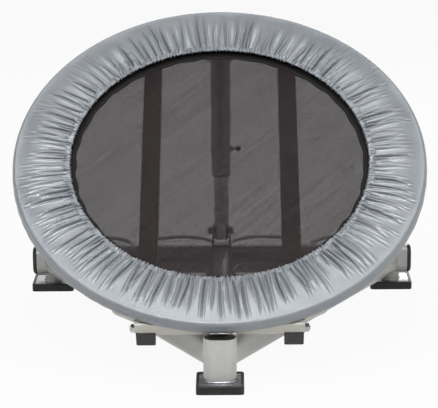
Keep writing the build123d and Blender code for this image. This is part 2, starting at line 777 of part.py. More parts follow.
nodes = {
    "base_post": make_post(),
    "post_cap": make_post_cap(),
    "rear_cross_tube": make_cross_tube(),
    "cross_tube_cap_right": end_cap,
    "cross_tube_cap_left": mirror(end_cap, Plane.YZ),
    "centre_beam": make_centre_beam(),
    "side_tube_right": side_tube,
    "side_tube_left": mirror(side_tube, Plane.YZ),
    "leg_stub_right": leg_stub_at(rear_foot_x),
    "leg_stub_left": leg_stub_at(-rear_foot_x),
    "ball_ring_front_left": ball_ring_at(-front_ring_x, front_ring_y),
    "ball_ring_front_right": ball_ring_at(front_ring_x, front_ring_y),
    "hinge_lugs": make_hinge_lugs(),
    "lug_bushes": make_lug_bushes(),
    "lower_clevis": make_lower_clevis(),
    "lower_clevis_bolt": make_lower_bolt(),
    "lower_clevis_nut": make_lower_nut(),
}

for place_name, x, y in (
    ("front", 0, post_y),
    ("left", -rear_foot_x, cross_y),
    ("right", rear_foot_x, cross_y),
):
    nodes["rubber_foot_" + place_name] = foot_at(x, y)
    nodes["foot_plate_" + place_name] = foot_plate_at(x, y)

for number in range(1, 5):
    nodes[f"ball_ring_rear_{number}"] = ball_ring_at((number - 2.5) * ball_ring_spacing, rear_ring_y)

deck_nodes = {
    "edge_pad": make_edge_pad(),
    "ring_tube": make_ring_tube(),
    "jump_mat": make_jump_mat(),
    "mat_hem": make_mat_hem(),
    "mat_v_rings": make_mat_v_rings(),
    "springs": make_springs(),
    "rail_left": make_rail(-rail_x),
    "rail_right": make_rail(rail_x),
    "rail_end_caps": make_rail_end_caps(),
    "front_crossbar": make_crossbar(-1),
    "rear_crossbar": make_crossbar(1),
    "ring_saddles": make_ring_saddles(),
    "saddle_liners": make_saddle_liners(),
    "ring_bolts": make_ring_bolts(),
    "hinge_axle": make_axle(),
    "axle_washers": make_axle_washers(),
    "axle_nuts": make_axle_nuts(),
    "axle_spacers": make_axle_spacers(),
    "upper_bracket": make_upper_bracket(),
}

strut_nodes = {
    "strut_inner_tube": make_inner_tube(),
    "strut_eye_bush": make_eye_bush(),
    "upper_guide_bush": make_upper_guide_bush(),
    "strut_outer_tube": make_outer_tube(),
    "lower_guide_bush": make_lower_guide_bush(),
    "strut_top_plug": make_top_plug(),
    "upper_pivot_bolt": make_upper_bolt(),
    "upper_pivot_nut": make_upper_nut(),
    "upper_pivot_washers": make_upper_washers(),
    "pin_boss": make_pin_boss(),
    "guide_screw": make_guide_screw(),
    "pin_plunger": make_pin_plunger(),
    "pin_knob": make_pin_knob(),
}

nodes.update({name: placed(deck_place, shape) for name, shape in deck_nodes.items()})
nodes.update({name: placed(strut_place, shape) for name, shape in strut_nodes.items()})

os.makedirs("parts", exist_ok=True)
for name, shape in nodes.items():
    solids = shape if isinstance(shape, list) else [shape]
    loose = [solid for each in solids for solid in each.solids()]
    export_step(Compound(loose), f"parts/{name}.step")
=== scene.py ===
"""Finish and soft goods of the medicine ball rebounder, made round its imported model. Metres, Z up."""
import json
import math
import bpy
import numpy as np
from mathutils import Matrix, Vector


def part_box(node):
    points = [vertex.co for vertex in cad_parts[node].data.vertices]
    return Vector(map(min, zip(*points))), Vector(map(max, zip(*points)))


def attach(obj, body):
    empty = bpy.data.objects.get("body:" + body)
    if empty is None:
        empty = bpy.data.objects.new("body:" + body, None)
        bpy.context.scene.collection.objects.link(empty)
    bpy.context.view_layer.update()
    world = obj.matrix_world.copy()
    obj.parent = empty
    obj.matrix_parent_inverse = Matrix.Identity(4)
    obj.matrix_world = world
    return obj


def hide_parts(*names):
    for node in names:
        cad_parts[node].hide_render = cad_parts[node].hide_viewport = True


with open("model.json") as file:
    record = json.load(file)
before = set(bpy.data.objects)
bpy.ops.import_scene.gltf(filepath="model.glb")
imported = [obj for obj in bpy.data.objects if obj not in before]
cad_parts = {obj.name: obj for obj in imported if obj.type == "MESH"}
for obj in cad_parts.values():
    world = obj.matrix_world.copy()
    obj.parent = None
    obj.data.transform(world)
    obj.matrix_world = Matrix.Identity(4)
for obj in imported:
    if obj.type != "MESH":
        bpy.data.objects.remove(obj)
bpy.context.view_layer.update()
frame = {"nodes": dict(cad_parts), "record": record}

MM = 0.001
TURN = 2 * math.pi


def middle_of(node):
    """The middle of a node's box, as an array."""
    low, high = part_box(node)
    return np.array((low + high) / 2)


def extent_of(node):
    """The size of a node's box along X, Y and Z, as an array."""
    low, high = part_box(node)
    return np.array(high - low)


# The deck's own frame, read from the ring tube: a ring of radius R and tube radius r that is
# tilted by an angle A is 2(R + r) wide, 2(R cos A + r) deep and 2(R sin A + r) high.
RING_TUBE_RADIUS = 15 * MM
RING_RADIUS = extent_of("ring_tube")[0] / 2 - RING_TUBE_RADIUS
TILT = math.asin((extent_of("ring_tube")[2] / 2 - RING_TUBE_RADIUS) / RING_RADIUS)
ACROSS = np.array((1.0, 0.0, 0.0))
UPHILL = np.array((0.0, math.cos(TILT), math.sin(TILT)))
OUT = np.array((0.0, -math.sin(TILT), math.cos(TILT)))
PAD_RADIUS = extent_of("edge_pad")[0] / 2
PAD_OVER_RING = 6 * MM
RING_N = -PAD_OVER_RING - RING_TUBE_RADIUS
DECK_MIDDLE = middle_of("ring_tube") - RING_N * OUT

# Cover
OPENING_RADIUS = 361 * MM
FRILL_WIDTH = 15 * MM
FRILL_DROP = 4.5 * MM
CROWN_RISE_WIDTH = 65 * MM
CROWN_FALL = 3.5 * MM
SHOULDER = 8 * MM
SKIRT_DEPTH = 35 * MM
SKIRT_THICKNESS = 4.7 * MM
SKIRT_HEM_DEPTH = 15 * MM
COVER_THICKNESS = 14 * MM

# Mat, hem and springs
MAT_N = -24 * MM
MAT_RADIUS = 378 * MM
HEM_WIDTH = 30 * MM
HEM_THICKNESS = 4 * MM
MESH_THICKNESS = 0.4 * MM
SPRING_COUNT = 32
WIRE_RADIUS = 1.5 * MM
COIL_RADIUS = 5.5 * MM
SPRING_BARREL = 48 * MM
V_RING_REACH = 13 * MM

random = np.random.default_rng(36)


def deck_point(x, s, n):
    """Point of the deck's frame in the shared frame: x across, s up the slope, n out of the mat."""
    x, s, n = (np.asarray(value, float)[..., None] for value in (x, s, n))
    return DECK_MIDDLE + x * ACROSS + s * UPHILL + n * OUT


def ring_point(angle, radius, n):
    """Point at an angle and a radius about the deck's axis."""
    return deck_point(radius * np.cos(angle), radius * np.sin(angle), n)


# Mesh building

def grid_faces(rows, columns, rows_close=False, columns_close=False):
    """Quads that join each point of a grid with its neighbours both ways; a closed way joins its ends."""
    row = np.arange(rows if rows_close else rows - 1)
    column = np.arange(columns if columns_close else columns - 1)
    i, j = (index.ravel() for index in np.meshgrid(row, column, indexing="ij"))
    i_next, j_next = (i + 1) % rows, (j + 1) % columns
    corners = (i * columns + j, i_next * columns + j, i_next * columns + j_next, i * columns + j_next)
    return np.stack(corners, axis=1)


def enclosed_volume(points, faces):
    """Volume inside quads, as the sum of the tetrahedra from their middle; negative if they face in."""
    middle = points.mean(axis=0)
    a, b, c, d = (points[faces[:, k]] - middle for k in range(4))
    return (np.einsum("ij,ij->i", a, np.cross(b, c)) + np.einsum("ij,ij->i", a, np.cross(c, d))).sum() / 6


def make_piece(name, points, faces, material, body, closed=True):
    """A mesh object of points and quads that rides on a body. A closed one has its faces turned outwards."""
    points = np.asarray(points, float).reshape(-1, 3)
    if closed and enclosed_volume(points, faces) < 0:
        faces = faces[:, ::-1]
    mesh = bpy.data.meshes.new(name)
    mesh.vertices.add(len(points))
    mesh.vertices.foreach_set("co", points.ravel())
    mesh.loops.add(faces.size)
    mesh.loops.foreach_set("vertex_index", faces.ravel().astype(np.int32))
    mesh.polygons.add(len(faces))
    mesh.polygons.foreach_set("loop_start", np.arange(0, faces.size, 4, dtype=np.int32))
    mesh.polygons.foreach_set("use_smooth", np.ones(len(faces), bool))
    mesh.update(calc_edges=True)
    mesh.validate()
    mesh.materials.append(material)
    piece = bpy.data.objects.new(name, mesh)
    bpy.context.scene.collection.objects.link(piece)
    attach(piece, body)
    return piece


def tube_faces(rows, sides):
    """Quads of a tube with an even number of sides, with a fan of quads that closes each end."""
    corner = np.arange(1, sides - 1, 2)
    fan = np.stack((0 * corner, corner, corner + 1, corner + 2), axis=1)
    last = (rows - 1) * sides
    return np.concatenate((grid_faces(rows, sides, columns_close=True), fan, last + fan[:, ::-1]))


def tube_along(path, side, up, radius, sides, closed=False):
    """Round tube: at each point of the path a circle, radius (side cos b + up sin b). A closed path makes
    a ring, and an open one gets flat ends. Arrays may have leading axes, one tube for each."""
    around = np.arange(sides) * TURN / sides
    radius = np.broadcast_to(radius, path.shape[:-1])[..., None, None]
    circle = side[..., None, :] * np.cos(around)[:, None] + up[..., None, :] * np.sin(around)[:, None]
    points = path[..., None, :] + radius * circle
    rows = path.shape[-2]
    faces = grid_faces(rows, sides, True, True) if closed else tube_faces(rows, sides)
    first = np.arange(math.prod(path.shape[:-2])) * rows * sides
    return points.reshape(-1, 3), (first[:, None, None] + faces).reshape(-1, 4)


def unit(vectors):
    """Vectors brought to a length of 1."""
    return vectors / np.linalg.norm(vectors, axis=-1, keepdims=True)


def smooth(x):
    """0 below 0, 1 above 1 and 3x^2 - 2x^3 between them."""
    x = np.clip(x, 0.0, 1.0)
    return x * x * (3 - 2 * x)


# Material nodes

# The sockets of a Mix node that it uses for colours: factor, first and second, and the result
MIX_INPUTS = (0, 6, 7)
MIX_OUTPUT = 2


def new_group(name, inputs, outputs):
    """An empty shader group. inputs is {name: default}, a vector or a number, and outputs {name: type}."""
    group = bpy.data.node_groups.new(name, "ShaderNodeTree")
    for label, default in inputs.items():
        kind = "NodeSocketVector" if isinstance(default, tuple) else "NodeSocketFloat"
        socket = group.interface.new_socket(name=label, in_out="INPUT", socket_type=kind)
        socket.default_value = default
    for label, kind in outputs.items():
        group.interface.new_socket(name=label, in_out="OUTPUT", socket_type=kind)
    return group, Wiring(group)


class Wiring:
    """Short calls for adding and linking the nodes of one tree."""

    def __init__(self, tree):
        self.tree = tree

    def feed(self, socket, value):
        """Links another node's output to a socket, or gives the socket a plain value."""
        if isinstance(value, bpy.types.NodeSocket):
            self.tree.links.new(value, socket)
        else:
            socket.default_value = value

    def node(self, kind, **sockets):
        """Adds a node. A keyword names a socket, with spaces as underscores, or a property."""
        made = self.tree.nodes.new(kind)
        for key, value in sockets.items():
            self.put(made, key, value)
        return made

    def put(self, node, key, value):
        """Feeds the node's first socket of that name, or else sets its property."""
        label = key.replace("_", " ").lower()
        sockets = {socket.name.lower(): socket for socket in reversed(list(node.inputs))}
        if label in sockets:
            self.feed(sockets[label], value)
        else:
            setattr(node, key, value)

    def math(self, operation, *values, clamp=False):
        """One step of arithmetic, held between 0 and 1 with clamp."""
        made = self.node("ShaderNodeMath", operation=operation, use_clamp=clamp)
        for socket, value in zip(made.inputs, values):
            self.feed(socket, value)
        return made.outputs[0]

    def mix(self, factor, first, second):
        """Mix of two colours, each of them a socket or a tuple of red, green and blue."""
        made = self.node("ShaderNodeMix", data_type="RGBA")
        for index, value in zip(MIX_INPUTS, (factor, first, second)):
            self.feed(made.inputs[index], (*value, 1.0) if isinstance(value, tuple) else value)
        return made.outputs[MIX_OUTPUT]

    def between(self, value, low, high, out_low=0.0, out_high=1.0):
        """value carried from the range low to high onto out_low to out_high, and held there."""
        made = self.node("ShaderNodeMapRange", Value=value, From_Min=low, From_Max=high)
        self.put(made, "To_Min", out_low)
        self.put(made, "To_Max", out_high)
        return made.outputs[0]

    def noise(self, vector, scale, detail, roughness):
        """Cloudy noise, 0 to 1, with scale clouds to the vector's unit."""
        made = self.node("ShaderNodeTexNoise", Vector=vector, Scale=scale, Detail=detail, Roughness=roughness)
        return made.outputs[0]


# Shader groups

def fine_grain_group():
    """Noise at two scales: Height for a bump, Mottle for slow changes of tone."""
    group, wire = new_group(
        "Fine grain",
        {"Vector": (0.0, 0.0, 0.0), "Grain per metre": 400.0, "Mottle per metre": 12.0},
        {"Height": "NodeSocketFloat", "Mottle": "NodeSocketFloat"},
    )
    given = wire.node("NodeGroupInput")
    grain = wire.noise(given.outputs["Vector"], given.outputs["Grain per metre"], 3.0, 0.6)
    mottle = wire.noise(given.outputs["Vector"], given.outputs["Mottle per metre"], 4.0, 0.55)
    wire.node("NodeGroupOutput", Height=grain, Mottle=mottle)
    return group


def edge_wear_group():
    """Mask that is 1 on worn outer edges, broken up by noise, and 0 on faces and in corners."""
    group, wire = new_group(
        "Edge wear",
        {"Vector": (0.0, 0.0, 0.0), "Amount": 0.5, "Breakup per metre": 120.0},
        {"Wear": "NodeSocketFloat", "Hollow": "NodeSocketFloat"},
    )
    given = wire.node("NodeGroupInput")
    pointed = wire.node("ShaderNodeNewGeometry").outputs["Pointiness"]
    edge = wire.between(pointed, 0.52, 0.62)
    breakup = wire.noise(given.outputs["Vector"], given.outputs["Breakup per metre"], 4.0, 0.7)
    broken = wire.between(breakup, 0.45, 0.7)
    wear = wire.math("MULTIPLY", wire.math("MULTIPLY", edge, broken), given.outputs["Amount"], clamp=True)
    hollow = wire.between(pointed, 0.49, 0.42)
    wire.node("NodeGroupOutput", Wear=wear, Hollow=hollow)
    return group


def weave_group():
    """Plain weave of round threads: each is a ridge, 1 less the square of the distance from its middle in
    half widths, and every other crossing lies over or under. Cover is 1 on thread and 0 in the holes."""
    group, wire = new_group(
        "Plain weave",
        {"Vector": (0.0, 0.0, 0.0), "Pitch": 0.003, "Thread share": 0.7},
        {"Cover": "NodeSocketFloat", "Height": "NodeSocketFloat"},
    )
    given = wire.node("NodeGroupInput")
    parts = wire.node("ShaderNodeSeparateXYZ", Vector=given.outputs["Vector"])
    share = given.outputs["Thread share"]
    ridges, turns = [], []
    for axis in (0, 1):
        along = wire.math("DIVIDE", parts.outputs[axis], given.outputs["Pitch"])
        off = wire.math("ABSOLUTE", wire.math("SUBTRACT", wire.math("FRACT", along), 0.5))
        across = wire.math("DIVIDE", wire.math("MULTIPLY", off, 2.0), share)
        ridges.append(wire.math("SUBTRACT", 1.0, wire.math("MULTIPLY", across, across)))
        turns.append(wire.math("SINE", wire.math("MULTIPLY", along, math.pi)))
    lift = wire.math("MULTIPLY", turns[0], turns[1])
    over = wire.math("MULTIPLY", ridges[0], wire.between(lift, -1.0, 1.0, 0.6, 1.0))
    under = wire.math("MULTIPLY", ridges[1], wire.between(lift, 1.0, -1.0, 0.6, 1.0))
    height = wire.math("MAXIMUM", over, under)
    cover = wire.math("GREATER_THAN", wire.math("MAXIMUM", *ridges), 0.0)
    wire.node("NodeGroupOutput", Cover=cover, Height=height)
    return group


FINE_GRAIN = fine_grain_group()
EDGE_WEAR = edge_wear_group()
WEAVE = weave_group()


# Materials

BARE_STEEL = (0.35, 0.34, 0.33)
PAINT_GRIME = (0.09, 0.085, 0.08)
METAL_GRIME = (0.05, 0.045, 0.04)
# Colour of the painted shade in the cover's folds
FOLD_PAINTED_SHADE = (0.09, 0.095, 0.105)
RUBBED_EDGE = (0.12, 0.12, 0.12)


def new_material(name, base, roughness, metallic=0.0):
    """A material with its Principled shader, the wiring of its tree and its Object coordinates."""
    material = bpy.data.materials.new(name)
    material.use_nodes = True
    shader = material.node_tree.nodes["Principled BSDF"]
    shader.inputs["Base Color"].default_value = (*base, 1.0)
    shader.inputs["Roughness"].default_value = roughness
    shader.inputs["Metallic"].default_value = metallic
    wire = Wiring(material.node_tree)
    place = wire.node("ShaderNodeTexCoord").outputs["Object"]
    return material, shader, wire, place


def use_group(wire, group, **sockets):
    """Places a shader group in a material's tree."""
    made = wire.tree.nodes.new("ShaderNodeGroup")
    made.node_tree = group
    for key, value in sockets.items():
        wire.put(made, key, value)
    return made


def link_bump(wire, shader, height, distance):
    """Bumps a shader's normal by a height of 0 to 1 that stands for a distance."""
    bump = wire.node("ShaderNodeBump", Height=height, Distance=distance, Strength=1.0)
    wire.tree.links.new(bump.outputs[0], shader.inputs["Normal"])


def toned(colour, factor):
    """A colour made lighter or darker by a factor."""
    return tuple(min(1.0, part * factor) for part in colour)


def powder_coat(name, base):
    """Satin powder coat: orange peel, slow mottling, chipped edges and grime in the corners."""
    material, shader, wire, place = new_material(name, base, 0.42, metallic=0.25)
    grain = use_group(wire, FINE_GRAIN, Vector=place, Grain_per_metre=420.0, Mottle_per_metre=9.0)
    edges = use_group(wire, EDGE_WEAR, Vector=place, Amount=0.5)
    tone = wire.mix(wire.between(grain.outputs["Mottle"], 0.3, 0.7), toned(base, 0.9), toned(base, 1.07))
    grimy = wire.mix(wire.math("MULTIPLY", edges.outputs["Hollow"], 0.45), tone, PAINT_GRIME)
    worn = wire.mix(edges.outputs["Wear"], grimy, BARE_STEEL)
    wire.put(shader, "Base_Color", worn)
    wire.put(shader, "Roughness", wire.between(grain.outputs["Mottle"], 0.25, 0.75, 0.3, 0.42))
    link_bump(wire, shader, grain.outputs["Height"], 0.12 * MM)
    return material


def bare_metal(name, base, roughness):
    """Plated steel: fine grain, a slow change of gloss and dull corners."""
    material, shader, wire, place = new_material(name, base, roughness, metallic=1.0)
    grain = use_group(wire, FINE_GRAIN, Vector=place, Grain_per_metre=900.0, Mottle_per_metre=30.0)
    edges = use_group(wire, EDGE_WEAR, Vector=place, Amount=0.4)
    tone = wire.mix(wire.between(grain.outputs["Mottle"], 0.35, 0.7), toned(base, 0.7), base)
    grimy = wire.mix(wire.math("MULTIPLY", edges.outputs["Hollow"], 0.6), tone, METAL_GRIME)
    wire.put(shader, "Base_Color", grimy)
    gloss = wire.between(grain.outputs["Mottle"], 0.3, 0.7, roughness + 0.12, max(0.08, roughness - 0.06))
    wire.put(shader, "Roughness", gloss)
    link_bump(wire, shader, grain.outputs["Height"], 0.04 * MM)
    return material


def moulded(name, base, roughness, spread, texture=0.08 * MM):
    """Moulded plastic or rubber: spark-eroded texture, dusty mottling and rubbed edges."""
    material, shader, wire, place = new_material(name, base, roughness)
    shader.inputs["Specular IOR Level"].default_value = 0.3
    grain = use_group(wire, FINE_GRAIN, Vector=place, Grain_per_metre=1400.0, Mottle_per_metre=22.0)
    edges = use_group(wire, EDGE_WEAR, Vector=place, Amount=0.5, Breakup_per_metre=90.0)
    dusty = tuple(part + 0.004 for part in toned(base, 1.7))
    tone = wire.mix(wire.between(grain.outputs["Mottle"], 0.4, 0.8), base, dusty)
    rubbed = wire.mix(wire.math("MULTIPLY", edges.outputs["Wear"], 0.5), tone, RUBBED_EDGE)
    wire.put(shader, "Base_Color", rubbed)
    gloss = wire.between(grain.outputs["Mottle"], 0.3, 0.7, roughness - spread, roughness + spread)
    wire.put(shader, "Roughness", gloss)
    link_bump(wire, shader, grain.outputs["Height"], texture)
    return material


def cover_vinyl(name, base):
    """Silver coated vinyl: leather-like grain, small creases, soft gloss and painted shade in the folds."""
    material, shader, wire, place = new_material(name, base, 0.3, metallic=0.3)
    grain = use_group(wire, FINE_GRAIN, Vector=place, Grain_per_metre=700.0, Mottle_per_metre=7.0)
    creases = wire.node("ShaderNodeTexVoronoi", Vector=place, Scale=240.0, feature="DISTANCE_TO_EDGE")
    edges = use_group(wire, EDGE_WEAR, Vector=place, Amount=0.3)
    dark = (base[0] * 0.9, base[1] * 0.92, base[2] * 0.95)
    tone = wire.mix(wire.between(grain.outputs["Mottle"], 0.3, 0.7), dark, toned(base, 1.06))
    # Painted shade: the hollows of the folds are darkened towards a dark blue-grey.
    shaded = wire.mix(wire.math("MULTIPLY", edges.outputs["Hollow"], 0.52), tone, FOLD_PAINTED_SHADE)
    wire.put(shader, "Base_Color", shaded)
    wire.put(shader, "Roughness", wire.between(grain.outputs["Mottle"], 0.3, 0.7, 0.26, 0.36))
    height = wire.math("ADD", wire.between(creases.outputs[0], 0.0, 0.12), grain.outputs["Height"])
    link_bump(wire, shader, height, 0.12 * MM)
    return material


def on_deck_plane(wire, place, turned):
    """Object coordinates turned so that X and Y lie in the mat, at an angle to the slope."""
    mapping = wire.node("ShaderNodeMapping", Vector=place, Rotation=(-TILT, 0.0, turned))
    return mapping.outputs[0]


def mat_weave(name, base):
    """Open polypropylene weave on the bias: light comes through the holes between the threads."""
    material, shader, wire, place = new_material(name, base, 0.7)
    shader.inputs["Specular IOR Level"].default_value = 0.15
    flat = on_deck_plane(wire, place, math.radians(45))
    streaks = wire.node("ShaderNodeMapping", Vector=flat, Scale=(180.0, 2.5, 1.0))
    streak = wire.noise(streaks.outputs[0], 1.0, 3.0, 0.55)
    share = wire.between(streak, 0.35, 0.65, 0.553, 0.603)
    weave = use_group(wire, WEAVE, Vector=flat, Pitch=2.4 * MM, Thread_share=share)
    grain = use_group(wire, FINE_GRAIN, Vector=place, Grain_per_metre=160.0, Mottle_per_metre=14.0)
    light = toned(base, 1.5)
    # Painted highlight: the crowns of the threads are lighter than their sides.
    tone = wire.mix(wire.between(weave.outputs["Height"], 0.2, 1.0), base, light)
    faded = wire.mix(wire.between(grain.outputs["Mottle"], 0.3, 0.75, 0.0, 0.4), tone, light)
    wire.put(shader, "Base_Color", faded)
    wire.put(shader, "Alpha", weave.outputs["Cover"])
    link_bump(wire, shader, weave.outputs["Height"], 0.4 * MM)
    return material


def webbing(name, base):
    """Tight black webbing: a fine weave whose raised threads are painted lighter, a slight painted sheen."""
    material, shader, wire, place = new_material(name, base, 0.7)
    shader.inputs["Specular IOR Level"].default_value = 0.12
    flat = on_deck_plane(wire, place, math.radians(20))
    weave = use_group(wire, WEAVE, Vector=flat, Pitch=1.6 * MM, Thread_share=1.2)
    grain = use_group(wire, FINE_GRAIN, Vector=place, Grain_per_metre=500.0, Mottle_per_metre=25.0)
    light = toned(base, 2.2)
    # Painted sheen: the raised threads of the weave are lighter than the rest.
    tone = wire.mix(weave.outputs["Height"], base, light)
    faded = wire.mix(wire.between(grain.outputs["Mottle"], 0.4, 0.8, 0.0, 0.3), tone, light)
    wire.put(shader, "Base_Color", faded)
    wire.put(shader, "Roughness", wire.between(grain.outputs["Mottle"], 0.3, 0.7, 0.5, 0.68))
    link_bump(wire, shader, weave.outputs["Height"], 0.3 * MM)
    return material


def sewing_thread(name, base):
    """Bonded thread with a fine twist."""
    material, shader, wire, place = new_material(name, base, 0.5)
    grain = use_group(wire, FINE_GRAIN, Vector=place, Grain_per_metre=1800.0, Mottle_per_metre=60.0)
    wire.put(shader, "Base_Color", wire.mix(grain.outputs["Height"], toned(base, 0.7), base))
    link_bump(wire, shader, grain.outputs["Height"], 0.1 * MM)
    return material


finishes = {
    "frame_paint": powder_coat("frame powder coat", (0.43, 0.43, 0.41)),
    "rail_paint": powder_coat("rail powder coat", (0.47, 0.46, 0.41)),
    "zinc_steel": bare_metal("bright zinc plate", (0.56, 0.56, 0.57), 0.28),
    "plate_steel": bare_metal("satin steel plate", (0.47, 0.47, 0.49), 0.28),
    "black_cap": moulded("glossy black plastic", (0.012, 0.012, 0.012), 0.24, 0.05, 0.04 * MM),
    "foot_rubber": moulded("moulded rubber", (0.01, 0.0095, 0.0095), 0.42, 0.08),
    "pad_vinyl": cover_vinyl("silver vinyl", (0.224, 0.237, 0.251)),
    "mat_mesh": mat_weave("mat weave", (0.011, 0.007, 0.0078)),
    "hem_webbing": webbing("hem webbing", (0.0035, 0.003, 0.003)),
    "spring_steel": bare_metal("galvanised wire", (0.52, 0.52, 0.54), 0.3),
    "guide_nylon": moulded("black nylon", (0.02, 0.02, 0.022), 0.45, 0.06),
    "bronze_bush": bare_metal("sintered bronze", (0.5, 0.32, 0.13), 0.42),
}
weld_steel = bare_metal("heat-darkened weld", (0.26, 0.26, 0.29), 0.26)
cover_thread = sewing_thread("cover thread", (0.36, 0.37, 0.39))
hem_thread = sewing_thread("hem thread", (0.05, 0.05, 0.05))

for part in frame["record"]["subparts"]:
    node = frame["nodes"][part["node"]]
    for slot in node.material_slots:
        slot.material = finishes[part["material_slot"]]


# Cover: a closed section carried round the ring, with folds gathered at its inner edge

# Distances from the inner edge, which are called u
SHOULDER_U = PAD_RADIUS - SHOULDER - OPENING_RADIUS
FINE_ROWS_U = FRILL_WIDTH + 5 * MM
LEVEL_UNDERSIDE_U = 40 * MM
PAST_ALL_FOLDS_U = 1.0

NOSE_RADIUS = 2.7 * MM
OVER_RING_RADIUS = RING_TUBE_RADIUS + 0.3 * MM
OVER_RING_TURN = math.radians(152.8)  # where the foam's underside has come down to its level part
LEAST_FOAM = 1 * MM
FRILL_SEAM_DEPTH = 1.6 * MM
FRILL_SEAM_WIDTH = 1.3 * MM
SHOULDER_SEAM_U = SHOULDER_U + 3 * MM
SHOULDER_SEAM_RISE = 0.7 * MM
SHOULDER_SEAM_WIDTH = 1.8 * MM
SKIRT_HEM_RISE = 0.7 * MM
SKIRT_HEM_RIPPLE = 0.35 * MM
FOLD_SCATTER = 0.36
FOLD_LEAN = 0.055
FOLD_BEND = 0.025
FOLD_LIP = 0.5
LONG_FOLDS = {
    "count": 132,
    "reach": (88 * MM, 122 * MM),
    "depth": (3.4 * MM, 11.0 * MM),
    "width": (1.2 * MM, 2.1 * MM),
}
SHORT_FOLDS = {
    "count": 96,
    "reach": (30 * MM, 90 * MM),
    "depth": (1.8 * MM, 5.5 * MM),
    "width": (0.9 * MM, 1.5 * MM),
}

# The cover's grid: columns round the ring and, in each, rows along the section
COVER_COLUMNS = 2592
COVER_ANGLES = np.arange(COVER_COLUMNS) * TURN / COVER_COLUMNS
NOSE_ROWS = 5
FRILL_ROWS = 13
TOP_ROWS = 35
SHOULDER_ROWS = 6
SKIRT_ROWS = 6
FOOT_ROWS = 3
OVER_RING_ROWS = 6
SKIRT_START = NOSE_ROWS + TOP_ROWS + SHOULDER_ROWS
SKIRT_END = SKIRT_START + SKIRT_ROWS
FOOT_END = SKIRT_END + FOOT_ROWS


def crown_height(u):
    """Top of the cover at a distance u out from its inner edge: the flat frill, a rise to the crown
    and a slow fall to the shoulder."""
    crown_u = FRILL_WIDTH + CROWN_RISE_WIDTH
    rise = smooth((u - FRILL_WIDTH) / CROWN_RISE_WIDTH)
    fall = smooth((u - crown_u) / (SHOULDER_U - crown_u))
    return -FRILL_DROP * (1 - rise) - CROWN_FALL * fall


def cover_outline():
    """Radius, height and distance from the inner edge of each point of the cover's section, from the
    underside of its nose over the top, down the skirt, round its foot and over the ring tube."""
    nose = np.radians(np.linspace(-90, 60, NOSE_ROWS))
    near = np.linspace(NOSE_RADIUS, FINE_ROWS_U, FRILL_ROWS)
    far = np.linspace(FINE_ROWS_U, SHOULDER_U, TOP_ROWS - FRILL_ROWS + 1)[1:]
    top = np.concatenate((near, far))
    bend = np.radians(np.linspace(90, 0, SHOULDER_ROWS + 1)[1:])
    bend_n = -CROWN_FALL - SHOULDER
    foot = np.radians(np.linspace(0, -180, FOOT_ROWS + 1)[1:])
    foot_radius = SKIRT_THICKNESS / 2
    foot_n = -SKIRT_DEPTH + foot_radius
    skirt_n = np.linspace(bend_n, foot_n, SKIRT_ROWS + 1)[1:]
    over = np.linspace(0, OVER_RING_TURN, OVER_RING_ROWS)
    radius = np.concatenate((
        OPENING_RADIUS + NOSE_RADIUS * (1 - np.cos(nose)),
        OPENING_RADIUS + top,
        PAD_RADIUS - SHOULDER + SHOULDER * np.cos(bend),
        np.full(SKIRT_ROWS, PAD_RADIUS),
        PAD_RADIUS - foot_radius + foot_radius * np.cos(foot),
        RING_RADIUS + OVER_RING_RADIUS * np.cos(over),
        (OPENING_RADIUS + LEVEL_UNDERSIDE_U,),
    ))
    height = np.concatenate((
        -FRILL_DROP - NOSE_RADIUS + NOSE_RADIUS * np.sin(nose),
        crown_height(top),
        bend_n + SHOULDER * np.sin(bend),
        skirt_n,
        foot_n + foot_radius * np.sin(foot),
        RING_N + OVER_RING_RADIUS * np.sin(over),
        (-COVER_THICKNESS,),
    ))
    u = np.concatenate((
        np.zeros(NOSE_ROWS),
        top,
        SHOULDER_U + SHOULDER * (np.pi / 2 - bend),
        np.full(SKIRT_ROWS, SHOULDER_U + 2 * SHOULDER),
        np.full(FOOT_ROWS + OVER_RING_ROWS + 1, PAST_ALL_FOLDS_U),
    ))
    return radius, height, u


SECTION_RADIUS, SECTION_HEIGHT, SECTION_U = cover_outline()


def creases(angle, u, count, reach, depth, width):
    """Radial folds: each is a sharp furrow exp(-(|x|/w)^1.2) between two soft lips, x being the distance
    across it. It starts at the frill, leans and bends a little on its way out, and narrows to a point.
    Its reach and width are drawn evenly from their ranges, and its depth more often from the low end."""
    total = np.zeros(angle.shape)
    half_window = COVER_COLUMNS // 30
    window = np.arange(-half_window, half_window)
    for k in range(count):
        middle = TURN * (k + random.uniform(-FOLD_SCATTER, FOLD_SCATTER)) / count
        length = random.uniform(*reach)
        deep = depth[0] + (depth[1] - depth[0]) * random.uniform(0.0, 1.0)**1.5
        half = random.uniform(*width)
        lean = random.normal(0.0, FOLD_LEAN)
        bend = random.normal(0.0, FOLD_BEND)
        start = random.uniform(0.3, 0.9) * FRILL_WIDTH
        near = (int(COVER_COLUMNS * middle / TURN) + window) % COVER_COLUMNS
        out = u[near]
        along = np.clip((out - start) / length, 0.0, 1.0)
        drift = lean * (out - FRILL_WIDTH) + bend * length * np.sin(3.0 * along)
        turned = (angle[near] - middle + math.pi) % TURN - math.pi
        x = np.abs(turned * (OPENING_RADIUS + out) - drift)
        wide = half * (1.05 - 0.6 * along**2)
        lip_at = half * (2.6 + 0.8 * along)
        lips = FOLD_LIP * np.exp(-((x - lip_at) / (1.5 * half))**2)
        furrow = np.exp(-(x / wide)**1.2) - lips
        total[near] -= deep * furrow * smooth((out - start) / (5 * MM)) * (1 - along**2.5)
    return total


